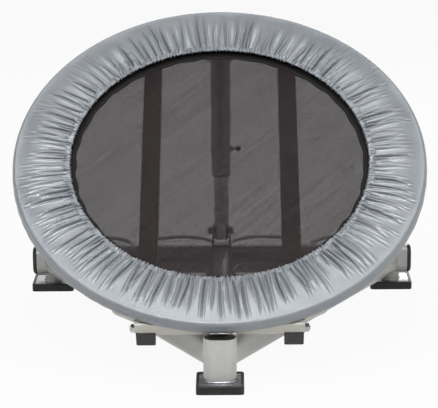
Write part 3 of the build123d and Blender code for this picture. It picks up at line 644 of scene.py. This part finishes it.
def puckers(angle, u):
    """Fine gathers of the elastic edge: two waves of uneven pitch, 290 and 203 to the turn, that die out
    past the frill."""
    uneven = 2.2 * np.sin(23 * angle) + 1.7 * np.sin(41 * angle + 1.0)
    fine = np.sin(290 * angle + uneven + 60 * u) * (0.65 + 0.35 * np.sin(57 * angle))
    cross = np.sin(203 * angle - 1.6 * uneven - 90 * u)
    fade = 1 - smooth((u - 0.7 * FRILL_WIDTH) / (0.9 * FRILL_WIDTH))
    return (1.9 * MM * fine + 1.5 * MM * cross) * fade


def billows(angle, u):
    """Slow unevenness of the foam between the folds."""
    slow = np.sin(17 * angle + 2.0 * np.sin(5 * angle) + 14 * u) + 0.7 * np.sin(29 * angle + 1.3 - 22 * u)
    return 0.5 * MM * slow * smooth((u - FRILL_WIDTH) / (30 * MM))


def underside(radius):
    """Height of the cover's underside at a radius: level, and a circle's top over the ring tube."""
    round_ring = RING_N + np.sqrt(np.maximum(OVER_RING_RADIUS**2 - (radius - RING_RADIUS)**2, 0.0))
    return np.maximum(round_ring, -COVER_THICKNESS)


def build_cover_points():
    """Section points pushed out along the section's own normal by the folds, puckers, billows and seams,
    and never so far in that the foam is pressed below its least thickness."""
    radius, height = SECTION_RADIUS, SECTION_HEIGHT
    ahead_r, ahead_n = (np.roll(line, -1) - np.roll(line, 1) for line in (radius, height))
    size = np.hypot(ahead_r, ahead_n)
    normal_r, normal_n = -ahead_n / size, ahead_r / size
    angle, u = np.meshgrid(COVER_ANGLES, SECTION_U, indexing="ij")
    lift = creases(angle, u, **LONG_FOLDS)
    lift += creases(angle, u, **SHORT_FOLDS)
    lift += puckers(angle, u) + billows(angle, u) * (1 - smooth((u - 0.8 * SHOULDER_U) / (0.3 * SHOULDER_U)))
    lift -= FRILL_SEAM_DEPTH * np.exp(-((u - FRILL_WIDTH) / FRILL_SEAM_WIDTH)**2)
    room = height - underside(radius) - LEAST_FOAM
    lift = np.where(lift < 0, room * np.tanh(lift / room), lift)
    lift *= 1 - smooth((u - 0.9 * SHOULDER_U) / (0.1 * SHOULDER_U))
    lift += SHOULDER_SEAM_RISE * np.exp(-((u - SHOULDER_SEAM_U) / SHOULDER_SEAM_WIDTH)**2)
    on_side = radius > PAD_RADIUS - 1 * MM
    hem = smooth((-SKIRT_DEPTH + SKIRT_HEM_DEPTH - height) / (1.5 * MM)) * on_side
    ripple = np.sin(61 * COVER_ANGLES + 2 * np.sin(9 * COVER_ANGLES))[:, None]
    lift += hem * (SKIRT_HEM_RISE + SKIRT_HEM_RIPPLE * ripple)
    lift[:, FOOT_END:] = 0.0
    return ring_point(angle, radius + normal_r * lift, height + normal_n * lift)


def make_cover():
    """The padded cover, a closed ring. Gives its points back, so that the stitching can follow them."""
    points = build_cover_points()
    faces = grid_faces(COVER_COLUMNS, len(SECTION_U), rows_close=True, columns_close=True)
    cover = make_piece("pad_cover", points, faces, finishes["pad_vinyl"], "deck")
    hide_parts("edge_pad")
    return points


# Stitches: their spacing, the share of it that shows as thread, and the thread's radius
FRILL_STITCH = {"spacing": 4.6 * MM, "shown": 0.7, "radius": 0.45 * MM}
SKIRT_STITCH = {"spacing": 5.2 * MM, "shown": 0.68, "radius": 0.45 * MM}
HEM_STITCH = {"spacing": 5 * MM, "shown": 0.66, "radius": 0.5 * MM}
SKIRT_STITCH_ABOVE_FOOT = 11 * MM
STITCH_ROWS = 5
STITCH_SIDES = 6


def stitch_row(name, path, out, material, slot, spacing, shown, radius):
    """Row of stitches along a closed line that is given as points with outward vectors: each stitch is a
    short tube that rises by a half sine, up to 0.95 of its radius, from ends that dive by 0.35 of it."""
    length = np.linalg.norm(np.roll(path, -1, axis=0) - path, axis=1).sum()
    count = int(length / spacing)
    steps = np.linspace(0.0, 1.0, STITCH_ROWS)
    position = (np.arange(count)[:, None] + shown * steps) / count * len(path)
    index = np.floor(position).astype(int)
    share = (position - index)[..., None]
    here, following = index % len(path), (index + 1) % len(path)
    line = path[here] * (1 - share) + path[following] * share
    away = unit(out[here] * (1 - share) + out[following] * share)
    ahead = unit(path[following] - path[here])
    side = unit(np.cross(ahead, away))
    line = line + away * (np.sin(np.pi * steps) * 1.3 - 0.35)[:, None] * radius
    thick = radius * np.sqrt(np.clip(np.sin(np.pi * (0.06 + 0.88 * steps)), 0.02, 1))
    points, faces = tube_along(line, side, away, thick, STITCH_SIDES)
    make_piece(name, points, faces, material, "deck")


def make_cover_seams(points):
    """Stitching along the frill and along the skirt's hem, laid on the finished surface."""
    frill_line = points[:, np.argmin(np.abs(SECTION_U - FRILL_WIDTH))]
    out = np.broadcast_to(OUT, frill_line.shape)
    stitch_row("frill_stitching", frill_line, out, cover_thread, "pad_vinyl", **FRILL_STITCH)
    above_foot = SECTION_HEIGHT[SKIRT_START:SKIRT_END] + SKIRT_DEPTH
    hem_line = points[:, SKIRT_START + np.argmin(np.abs(above_foot - SKIRT_STITCH_ABOVE_FOOT))]
    outward = ring_point(COVER_ANGLES, 1.0, 0.0) - DECK_MIDDLE
    stitch_row("skirt_stitching", hem_line, outward, cover_thread, "pad_vinyl", **SKIRT_STITCH)


# Mat, hem, springs

MAT_GRID = 97
MAT_IN_HEM = 2 * MM
MAT_PULL = 0.5 * MM
HEM_COLUMNS = 768
HEM_ROWS = 36
HEM_STITCH_POINTS = 1600
HEM_STITCH_SHARE = 0.72
HEM_SLACK = 1.6 * MM
HEM_FLAT_POWER = 0.35
HEM_THICK_POWER = 0.6
HOOK_RADIUS = 2.4 * WIRE_RADIUS
COIL_PITCH = 2.04 * WIRE_RADIUS
COIL_STEPS = 13
WIRE_SIDES = 6


def make_mat():
    """Flat weave: a square grid bent to a disc by x = a sqrt(1 - b^2/2), s = b sqrt(1 - a^2/2), with a
    slight wave near its rim where the springs pull."""
    side = np.linspace(-1, 1, MAT_GRID)
    a, b = np.meshgrid(side, side, indexing="ij")
    radius = MAT_RADIUS - MAT_IN_HEM
    x, s = radius * a * np.sqrt(1 - b * b / 2), radius * b * np.sqrt(1 - a * a / 2)
    distance, angle = np.hypot(x, s) / radius, np.arctan2(s, x)
    pull = MAT_PULL * np.sin(SPRING_COUNT * angle) * smooth((distance - 0.75) / 0.2)
    points = deck_point(x, s, MAT_N + pull)
    faces = grid_faces(MAT_GRID, MAT_GRID)[:, ::-1]
    mat = make_piece("mat_mesh", points, faces, finishes["mat_mesh"], "deck", closed=False)
    wall = mat.modifiers.new("thickness", "SOLIDIFY")
    wall.thickness = MESH_THICKNESS
    wall.offset = 0.0
    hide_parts("jump_mat")
    return mat


def hem_shape(angle, across):
    """Hem of the mat: a flattened oval section, |cos|^0.35 wide and |sin|^0.6 thick. Its inner edge is
    drawn out to each spring and slack between, and it is pressed in along its rows of stitching."""
    slack = HEM_SLACK * np.cos(SPRING_COUNT * (angle - TURN / (2 * SPRING_COUNT)))
    uneven = 0.5 * MM * np.sin(13 * angle) + 0.4 * MM * np.sin(37 * angle + 0.8)
    inner = MAT_RADIUS - HEM_WIDTH + slack + uneven
    middle = (MAT_RADIUS + inner) / 2
    half = (MAT_RADIUS - inner) / 2
    flat = np.sign(np.cos(across)) * np.abs(np.cos(across))**HEM_FLAT_POWER
    thick = np.sign(np.sin(across)) * np.abs(np.sin(across))**HEM_THICK_POWER
    quilt = 1 - 0.22 * np.exp(-((np.abs(flat) - HEM_STITCH_SHARE) / 0.06)**2)
    return middle + half * flat, MAT_N + HEM_THICKNESS / 2 * thick * quilt


def make_hem():
    """The mat's hem with a row of stitching on each side of its middle."""
    round_ring = np.arange(HEM_COLUMNS) * TURN / HEM_COLUMNS
    angle, across = np.meshgrid(round_ring, np.arange(HEM_ROWS) * TURN / HEM_ROWS, indexing="ij")
    points = ring_point(angle, *hem_shape(angle, across))
    faces = grid_faces(HEM_COLUMNS, HEM_ROWS, rows_close=True, columns_close=True)
    hem = make_piece("hem_band", points, faces, finishes["hem_webbing"], "deck")
    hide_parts("mat_hem")
    angle = np.arange(HEM_STITCH_POINTS) * TURN / HEM_STITCH_POINTS
    out = np.broadcast_to(OUT, (HEM_STITCH_POINTS, 3))
    for name, sign in (("hem_stitching_inner", -1), ("hem_stitching_outer", 1)):
        across = math.acos(sign * HEM_STITCH_SHARE**(1 / HEM_FLAT_POWER))
        line = ring_point(angle, *hem_shape(angle, across))
        stitch_row(name, line, out, hem_thread, "hem_webbing", **HEM_STITCH)
    return hem


def spring_path():
    """Wire of one spring in its own axes, X along it and Z out of the mat: a hook, a neck that winds
    out to the coil, the close coil, and the same in mirror order. The second array is a vector
    square to the wire at each point."""
    hook_x = MAT_RADIUS + V_RING_REACH - WIRE_RADIUS
    far_x = RING_RADIUS - math.sqrt(RING_TUBE_RADIUS**2 - (MAT_N - RING_N)**2) + WIRE_RADIUS
    middle = (hook_x + far_x) / 2
    turns = round(SPRING_BARREL / COIL_PITCH)
    bend = np.radians(np.linspace(-70, -270, 9))
    hook = np.stack((hook_x + HOOK_RADIUS * np.cos(bend), 0 * bend, HOOK_RADIUS * np.sin(bend)), axis=1)
    run = np.linspace(0, 1, 5)[1:]
    lead_end = middle - SPRING_BARREL / 2 - COIL_RADIUS
    lead = np.stack((hook_x + (lead_end - hook_x) * run, 0 * run, HOOK_RADIUS * (1 - smooth(run))), axis=1)
    wind = np.linspace(0, 1, 8)[1:]
    neck_turn = np.pi * wind
    neck_x = lead_end + COIL_RADIUS * wind
    neck_r = COIL_RADIUS * smooth(wind)
    coil = np.linspace(0, 1, turns * COIL_STEPS)[1:-1]
    coil_turn = np.pi + TURN * turns * coil
    coil_x = middle + SPRING_BARREL * (coil - 0.5)
    turn = np.concatenate((neck_turn, coil_turn))
    wound_r = np.concatenate((neck_r, np.full(len(coil), COIL_RADIUS)))
    wound_x = np.concatenate((neck_x, coil_x))
    wound = np.stack((wound_x, wound_r * np.cos(turn), wound_r * np.sin(turn)), axis=1)
    start = np.concatenate((hook, lead))
    start_side = np.tile((0.0, 1.0, 0.0), (len(start), 1))
    wound_side = np.stack((0 * turn, np.cos(turn), np.sin(turn)), axis=1)
    count = len(neck_turn)
    mirrored = np.array((-1.0, 1.0, 1.0))
    shift = np.array((2 * middle, 0.0, 0.0))
    end = (np.concatenate((start, wound[:count])) * mirrored + shift)[::-1]
    end_side = np.concatenate((start_side, wound_side[:count]))[::-1]
    return np.concatenate((start, wound, end)), np.concatenate((start_side, wound_side, end_side))


def make_springs():
    """All the springs as one piece, the first of them half a spacing from the deck's X axis."""
    path, side = spring_path()
    ahead = unit(np.gradient(path, axis=0))
    side = unit(side - ahead * (side * ahead).sum(axis=1, keepdims=True))
    up = np.cross(ahead, side)
    turn = (np.arange(SPRING_COUNT) + 0.5) * TURN / SPRING_COUNT
    radial = np.cos(turn)[:, None] * ACROSS + np.sin(turn)[:, None] * UPHILL
    sideways = -np.sin(turn)[:, None] * ACROSS + np.cos(turn)[:, None] * UPHILL
    axes = np.stack((radial, sideways, np.broadcast_to(OUT, radial.shape)), axis=1)
    line = DECK_MIDDLE + MAT_N * OUT + np.einsum("pk,ikj->ipj", path, axes)
    side, up = (np.einsum("pk,ikj->ipj", each, axes) for each in (side, up))
    points, faces = tube_along(line, side, up, WIRE_RADIUS, WIRE_SIDES)
    springs = make_piece("spring_coils", points, faces, finishes["spring_steel"], "deck")
    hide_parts("springs")


cover_points = make_cover()
make_cover_seams(cover_points)
mat = make_mat()
hem = make_hem()
make_springs()


# Welds

OVAL_HEIGHT = extent_of("rear_cross_tube")[2]
OVAL_WIDTH = extent_of("rear_cross_tube")[1]
OVAL_STRAIGHT = (OVAL_HEIGHT - OVAL_WIDTH) / 2
POST = middle_of("base_post")
CROSS = middle_of("rear_cross_tube")
CROSS_HALF_LENGTH = extent_of("rear_cross_tube")[0] / 2
UPRIGHT = np.array((0.0, 0.0, 1.0))
SIDE_TUBE_APEX = 18 * MM
SIDE_TUBE_INSET = 39 * MM
BEAD_RADIUS = 3.2 * MM
BEAD_RIPPLE = 4.5 * MM
BEAD_SIDES = 10
POST_BEAD_RADIUS = 4.2 * MM
POST_BEAD_POINTS = 230
STUB_BEAD_POINTS = 160
TUBE_BEAD_POINTS = 180
POST_SEARCH_START = 150 * MM
POST_SEARCH_REACH = 300 * MM
CROSS_SEARCH_START = 120 * MM
BEAM_SEARCH_START = 100 * MM
RING_BEAD_RADIUS = 3.4 * MM
RING_BEAD_REACH = 20 * MM
RING_BEAD_POINTS = 41
RING_BEAD_LIFT = 2.6 * MM


def oval_outline(count, grow=0.0):
    """Points round a flat-oval section, its long axis first: a circle whose halves are pushed apart by
    a steep tanh, so that straights join them."""
    t = np.arange(count) * TURN / count
    radius = OVAL_WIDTH / 2 + grow
    sharpness = 6
    push = OVAL_STRAIGHT * np.tanh(sharpness * np.cos(t)) / math.tanh(sharpness)
    return push + radius * np.cos(t), radius * np.sin(t)


def outside_oval(along, across):
    """How far a point lies outside a flat-oval section; negative inside."""
    return np.hypot(np.maximum(np.abs(along) - OVAL_STRAIGHT, 0), across) - OVAL_WIDTH / 2


def outside_post(points):
    """How far points lie outside the front post."""
    return outside_oval(points[:, 0] - POST[0], points[:, 1] - POST[1])


def outside_cross_tube(points):
    """How far points lie outside the rear cross tube."""
    return outside_oval(points[:, 2] - CROSS[2], points[:, 1] - CROSS[1])


def meeting_line(start, direction, gap, reach):
    """Where lines from start along direction first enter a surface: the interval in which gap changes
    sign is halved forty times, for all the lines at once."""
    low, high = np.zeros(len(start)), np.full(len(start), reach)
    for _ in range(40):
        half = (low + high) / 2
        outside = gap(start + half[:, None] * direction) > 0
        low, high = np.where(outside, half, low), np.where(outside, high, half)
    return start + low[:, None] * direction


def make_weld(name, path, away, closed=True, radius=BEAD_RADIUS, finish=finishes["frame_paint"]):
    """Bead of weld along a joint: a tube whose radius swells at each ripple by a rectified sine."""
    ahead = np.roll(path, -1, axis=0) - np.roll(path, 1, axis=0)
    if not closed:
        ahead[0], ahead[-1] = path[1] - path[0], path[-1] - path[-2]
    steps = np.linalg.norm(np.diff(path, axis=0, prepend=path[:1]), axis=1)
    length = np.cumsum(steps)
    ahead = unit(ahead)
    side = unit(np.cross(ahead, np.broadcast_to(away, path.shape)))
    up = np.cross(side, ahead)
    wander = 0.12 * np.sin(length / (9 * MM)) * np.sin(length / (23 * MM) + 1.0)
    swell = radius * (0.86 + 0.2 * np.abs(np.sin(np.pi * length / BEAD_RIPPLE)) + wander)
    if not closed:
        swell *= np.sqrt(np.clip(np.sin(np.pi * np.linspace(0.01, 0.99, len(path))) * 4, 0.05, 1))
    points, faces = tube_along(path, side, up, swell, BEAD_SIDES, closed)
    make_piece(name, points, faces, finish, "base")


def tube_sections(origin, direction, count):
    """Points round an upright flat-oval tube that runs level along direction from origin."""
    height, width = oval_outline(count)
    return origin + height[:, None] * UPRIGHT + width[:, None] * np.cross(direction, UPRIGHT)


def weld_post_foot(plate_top):
    """Bead where the post stands on its plate."""
    along, across = oval_outline(POST_BEAD_POINTS, 0.6 * MM)
    line = np.stack((along + POST[0], across + POST[1], 0 * along + plate_top + 1 * MM), axis=1)
    make_weld("weld_post_foot", line, UPRIGHT, radius=POST_BEAD_RADIUS, finish=weld_steel)


def weld_stub_foot(side_name, plate_top):
    """Bead where a leg stub stands on its plate."""
    x, y, _ = middle_of("leg_stub_" + side_name)
    radius = extent_of("leg_stub_" + side_name)[0] / 2
    turn = np.arange(STUB_BEAD_POINTS) * TURN / STUB_BEAD_POINTS
    line = np.stack((x + radius * np.cos(turn), y + radius * np.sin(turn), 0 * turn + plate_top), axis=1)
    make_weld("weld_stub_foot_" + side_name, line, UPRIGHT)


def weld_side_tube(side_name, sign):
    """Beads at both ends of a side tube. Where a line of the tube passes beside the post it has no bead,
    so the bead at the post may be open."""
    apex = np.array((0.0, POST[1] + SIDE_TUBE_APEX, CROSS[2]))
    end = np.array((sign * (CROSS_HALF_LENGTH - SIDE_TUBE_INSET), CROSS[1], CROSS[2]))
    run = unit(end - apex)
    sections = tube_sections(apex + POST_SEARCH_START * run, run, TUBE_BEAD_POINTS)
    to_post = meeting_line(sections, -run, outside_post, POST_SEARCH_REACH)
    reached = outside_post(to_post) < 1 * MM
    start = np.argmax(~reached)
    line = np.roll(to_post, -start, axis=0)[np.roll(reached, -start)]
    make_weld("weld_side_post_" + side_name, line, run, closed=bool(reached.all()))
    sections = tube_sections(end - CROSS_SEARCH_START * run, run, TUBE_BEAD_POINTS)
    to_middle = (CROSS[1] - sections[:, 1]) / run[1]
    to_cross = meeting_line(sections, run, outside_cross_tube, to_middle)
    make_weld("weld_side_cross_" + side_name, to_cross, -run)


def weld_beam():
    """Bead where the centre beam meets the cross tube."""
    run = np.array((0.0, 1.0, 0.0))
    start = np.array((0.0, CROSS[1] - BEAM_SEARCH_START, CROSS[2]))
    sections = tube_sections(start, run, TUBE_BEAD_POINTS)
    make_weld("weld_beam_cross", meeting_line(sections, run, outside_cross_tube, BEAM_SEARCH_START), -run)


def make_frame_welds():
    """The beads of the floor frame."""
    plate_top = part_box("foot_plate_front")[1].z
    weld_post_foot(plate_top)
    for side_name, sign in (("left", -1), ("right", 1)):
        weld_stub_foot(side_name, plate_top)
        weld_side_tube(side_name, sign)
    weld_beam()


def make_ring_welds():
    """Two short beads, over and under the rod, where each ball ring lies against the cross tube."""
    places = ("rear_1", "rear_2", "rear_3", "rear_4", "front_left", "front_right")
    x = np.linspace(-RING_BEAD_REACH, RING_BEAD_REACH, RING_BEAD_POINTS)
    for name in ("ball_ring_" + place for place in places):
        ring = middle_of(name)
        side = math.copysign(1, ring[1] - CROSS[1])
        off_tube = (RING_BEAD_RADIUS + x * x / (2 * extent_of(name)[0])) / 2
        y = CROSS[1] + side * (OVAL_WIDTH / 2 + off_tube)
        for level, sign in (("top", 1), ("under", -1)):
            path = np.stack((ring[0] + x, y, ring[2] + sign * RING_BEAD_LIFT + 0 * x), axis=1)
            make_weld(f"weld_{name}_{level}", path, (0.0, side, 0.0), closed=False, radius=RING_BEAD_RADIUS)


make_frame_welds()
make_ring_welds()


# Floor, light and camera

FLOOR_RADIUS = 7.0
FLOOR_BEND = 2.0
BACKDROP_HEIGHT = 7.0
FLOOR_ROWS = 15
FLOOR_COLUMNS = 64
PAPER_TONE = 0.75
BACKDROP_TONE = 0.975
BACKDROP_SHARE = 0.965
LIGHTS_AIM = (0.0, 0.0, 0.35)
CAMERA_PLACE = (0.038, -4.8462, 1.5137)
SENSOR_WIDTH_MM = 36.0
PHOTO_WIDTH_PX = 438.0
FOCAL_LENGTH_PX = 2000.0


def studio_paper():
    """White paper: the floor takes light and shadow, but the camera and glossy pieces see it nearly plain."""
    material = bpy.data.materials.new("studio paper")
    material.use_nodes = True
    wire = Wiring(material.node_tree)
    shader = wire.tree.nodes["Principled BSDF"]
    shader.inputs["Base Color"].default_value = (PAPER_TONE, PAPER_TONE, PAPER_TONE, 1.0)
    shader.inputs["Roughness"].default_value = 0.9
    shader.inputs["Specular IOR Level"].default_value = 0.1
    bright = wire.node("ShaderNodeEmission", Color=(BACKDROP_TONE, BACKDROP_TONE, BACKDROP_TONE, 1.0))
    ray = wire.node("ShaderNodeLightPath").outputs
    seen = wire.math("MAXIMUM", ray["Is Camera Ray"], ray["Is Glossy Ray"])
    mixed = wire.node("ShaderNodeMixShader", Fac=wire.math("MULTIPLY", seen, BACKDROP_SHARE))
    for socket, source in zip(mixed.inputs[1:], (shader, bright)):
        wire.feed(socket, source.outputs[0])
    wire.feed(wire.tree.nodes["Material Output"].inputs["Surface"], mixed.outputs[0])
    return material


def make_stage():
    """Floor that turns up into a backdrop all round: a disc whose edge rises along a quarter circle."""
    bend = np.radians(np.linspace(90 / FLOOR_ROWS, 90, FLOOR_ROWS))
    wall = FLOOR_RADIUS + FLOOR_BEND
    level = np.linspace(1 * MM, FLOOR_RADIUS, FLOOR_ROWS)
    radius = np.concatenate((level, FLOOR_RADIUS + FLOOR_BEND * np.sin(bend), (wall,)))
    height = np.concatenate((0 * level, FLOOR_BEND * (1 - np.cos(bend)), (BACKDROP_HEIGHT,)))
    angle = np.arange(FLOOR_COLUMNS) * TURN / FLOOR_COLUMNS
    x, y = np.outer(np.cos(angle), radius), np.outer(np.sin(angle), radius)
    points = np.stack((x, y, np.broadcast_to(height, x.shape)), axis=2).reshape(-1, 3)
    faces = grid_faces(FLOOR_COLUMNS, len(radius), rows_close=True)
    mesh = bpy.data.meshes.new("studio_floor")
    mesh.from_pydata(points.tolist(), [], faces.tolist())
    mesh.polygons.foreach_set("use_smooth", np.ones(len(faces), bool))
    floor = bpy.data.objects.new("studio_floor", mesh)
    bpy.context.scene.collection.objects.link(floor)
    mesh.materials.append(studio_paper())


def add_softbox(name, place, size, power):
    """Rectangular lamp that points at the object."""
    lamp = bpy.data.lights.new(name, "AREA")
    lamp.shape = "RECTANGLE"
    lamp.size, lamp.size_y = size
    lamp.energy = power
    box = bpy.data.objects.new(name, lamp)
    box.location = place
    box.rotation_mode = "QUATERNION"
    box.rotation_quaternion = (Vector(LIGHTS_AIM) - Vector(place)).to_track_quat("-Z", "Y")
    bpy.context.scene.collection.objects.link(box)


def light_studio():
    """Faint white surroundings and five softboxes: place, width and height, and watts of each."""
    world = bpy.data.worlds.new("studio")
    world.use_nodes = True
    background = world.node_tree.nodes["Background"]
    background.inputs["Color"].default_value = (1.0, 1.0, 1.0, 1.0)
    background.inputs["Strength"].default_value = 0.1
    bpy.context.scene.world = world
    add_softbox("key softbox", (2.6, -2.3, 2.7), (1.1, 1.1), 44)
    add_softbox("fill softbox", (-2.5, -1.9, 3.2), (1.4, 1.4), 20)
    add_softbox("top softbox", (0.0, -0.7, 3.4), (1.9, 1.9), 58)
    add_softbox("back softbox", (0.5, 3.2, 2.0), (1.8, 1.4), 55)
    add_softbox("front softbox", (-0.3, -2.9, 3.3), (1.5, 0.9), 104)


def aim_camera():
    """Camera of the photograph: its place, pitch, yaw and roll, found from the outline of the object."""
    pitch, yaw, roll = math.radians(14.0), math.radians(-0.49), math.radians(-0.5)
    camera = bpy.data.cameras.new("camera")
    camera.sensor_width = SENSOR_WIDTH_MM
    camera.lens = SENSOR_WIDTH_MM * FOCAL_LENGTH_PX / PHOTO_WIDTH_PX
    forward = Vector((math.sin(yaw) * math.cos(pitch), math.cos(yaw) * math.cos(pitch), -math.sin(pitch)))
    level = forward.cross(Vector((0, 0, 1))).normalized()
    upright = level.cross(forward)
    right = math.cos(roll) * level + math.sin(roll) * upright
    up = -math.sin(roll) * level + math.cos(roll) * upright
    eye = bpy.data.objects.new("camera", camera)
    turned = Matrix((right, up, -forward)).transposed().to_4x4()
    eye.matrix_world = Matrix.Translation(CAMERA_PLACE) @ turned
    bpy.context.scene.collection.objects.link(eye)
    bpy.context.scene.camera = eye


make_stage()
light_studio()
aim_camera()
bpy.context.scene.view_settings.view_transform = "Standard"
